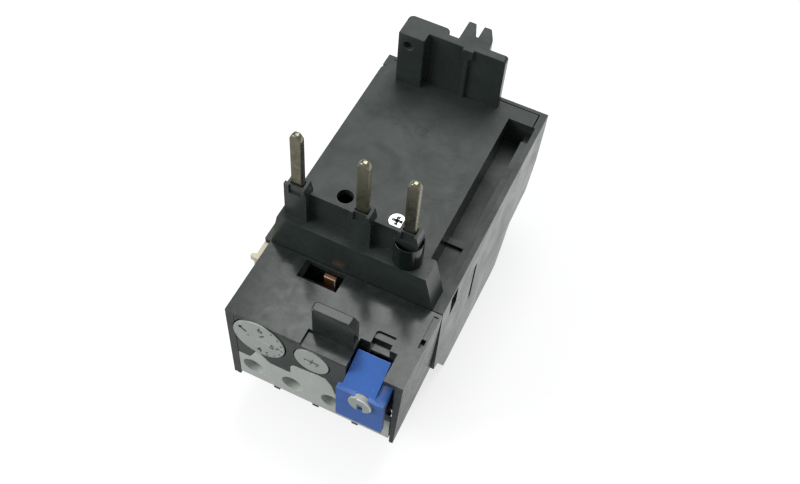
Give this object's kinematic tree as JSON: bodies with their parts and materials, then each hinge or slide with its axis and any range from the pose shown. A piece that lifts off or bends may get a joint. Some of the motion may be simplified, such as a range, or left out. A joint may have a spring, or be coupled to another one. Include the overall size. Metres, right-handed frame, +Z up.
{
  "type": "thermal overload relay",
  "caption": "Plug-in thermal overload relay with contact pins, a rear hook, a current dial, test and reset buttons and screw terminals.",
  "frame": {"origin": "on the flat rest face of the underside, midway across the width and 45 mm behind the front face", "axes": "+X to the right seen from the front, +Y from the front to the back, +Z up along the contact pins"},
  "size_m": [0.0465, 0.0956, 0.0758],
  "materials": {
    "housing_plastic": "glass-filled, fine matt grain",
    "cover_plastic": "semi-gloss moulding",
    "light_grey_plastic": "satin",
    "blue_plastic": "satin",
    "cream_plastic": "satin",
    "inner_plastic": "matt",
    "pin_metal": "tin plated, slightly dull",
    "bright_steel": "zinc plated",
    "contact_brass": "bare",
    "contact_silver": "satin",
    "bimetal": "rolled",
    "copper_strip": "browned copper",
    "spring_steel": "drawn wire"
  },
  "bodies": {
    "housing": {"rear_housing": "housing_plastic", "deck_plate": "housing_plastic", "deck_screw": "bright_steel", "front_cover": "cover_plastic", "fascia_panel": "housing_plastic", "terminal_shroud": "light_grey_plastic", "pin_block": "housing_plastic", "main_terminal_screws": "bright_steel", "main_clamp_plates": "bright_steel", "aux_terminal_base": "housing_plastic", "nc_plate_outer": "contact_brass", "nc_plate_inner": "contact_brass", "no_plate_inner": "contact_brass", "no_plate_outer": "contact_brass", "fixed_contacts": "contact_silver", "aux_terminal_screws": "bright_steel", "aux_clamp_plates": "bright_steel", "mechanism_frame": "inner_plastic", "rocker_pin": "bright_steel", "lever_pin": "bright_steel", "test_spring": "spring_steel", "reset_spring": "spring_steel", "hook_bracket": "housing_plastic", "side_clip": "cream_plastic", "contact_pin_left": "pin_metal", "terminal_bar_left": "pin_metal", "bimetal_strip_left": "bimetal", "heater_winding_left": "bimetal", "contact_pin_middle": "pin_metal", "terminal_bar_middle": "pin_metal", "bimetal_strip_middle": "bimetal", "heater_winding_middle": "bimetal", "contact_pin_right": "pin_metal", "terminal_bar_right": "pin_metal", "bimetal_strip_right": "bimetal", "heater_winding_right": "bimetal"},
    "dial": {"current_dial": "light_grey_plastic", "setting_cam": "inner_plastic"},
    "test_push": {"test_button": "light_grey_plastic"},
    "reset_push": {"reset_button": "blue_plastic"},
    "mode_knob": {"mode_selector": "light_grey_plastic"},
    "trip_slider": {"trip_slide": "inner_plastic"},
    "trip_arm": {"trip_lever": "copper_strip"},
    "rocker": {"contact_rocker": "inner_plastic", "nc_bridge": "contact_brass", "no_bridge": "contact_brass"}
  },
  "joints": [
    {"name": "dial_turn", "type": "hinge", "parent": "housing", "child": "dial", "pos_m": [-0.01265, -0.045, 0.0321], "axis": [0, 1, 0], "range_deg": [-130, 130]},
    {"name": "test_press", "type": "slide", "parent": "housing", "child": "test_push", "axis": [0, 1, 0], "range_m": [0, 0.0015], "stiffness_N_per_m": 400, "springref_m": -0.002, "deforming": ["test_spring"]},
    {"name": "reset_press", "type": "slide", "parent": "housing", "child": "reset_push", "axis": [0, 1, 0], "range_m": [0, 0.0012], "stiffness_N_per_m": 600, "springref_m": -0.002, "deforming": ["reset_spring"]},
    {"name": "mode_turn", "type": "hinge", "parent": "reset_push", "child": "mode_knob", "pos_m": [0.0143, -0.0484, 0.0305], "axis": [0, 1, 0], "range_deg": [0, 90]},
    {"name": "trip_move", "type": "slide", "parent": "housing", "child": "trip_slider", "axis": [-1, 0, 0], "range_m": [0, 0.0012], "stiffness_N_per_m": 100, "springref_m": -0.001},
    {"name": "trip_arm_turn", "type": "hinge", "parent": "housing", "child": "trip_arm", "pos_m": [-0.0046, -0.0262, 0.025], "axis": [0, -1, 0], "range_deg": [0, 17.2]},
    {"name": "rocker_turn", "type": "hinge", "parent": "housing", "child": "rocker", "pos_m": [0.0006, -0.034, 0.0265], "axis": [0, 1, 0], "range_deg": [0, 4.51]}
  ],
  "couplings": [
    {"joint": "trip_arm_turn", "follows": "trip_move", "rad_per_m": 250},
    {"joint": "rocker_turn", "follows": "trip_move", "rad_per_m": 65.45}
  ]
}
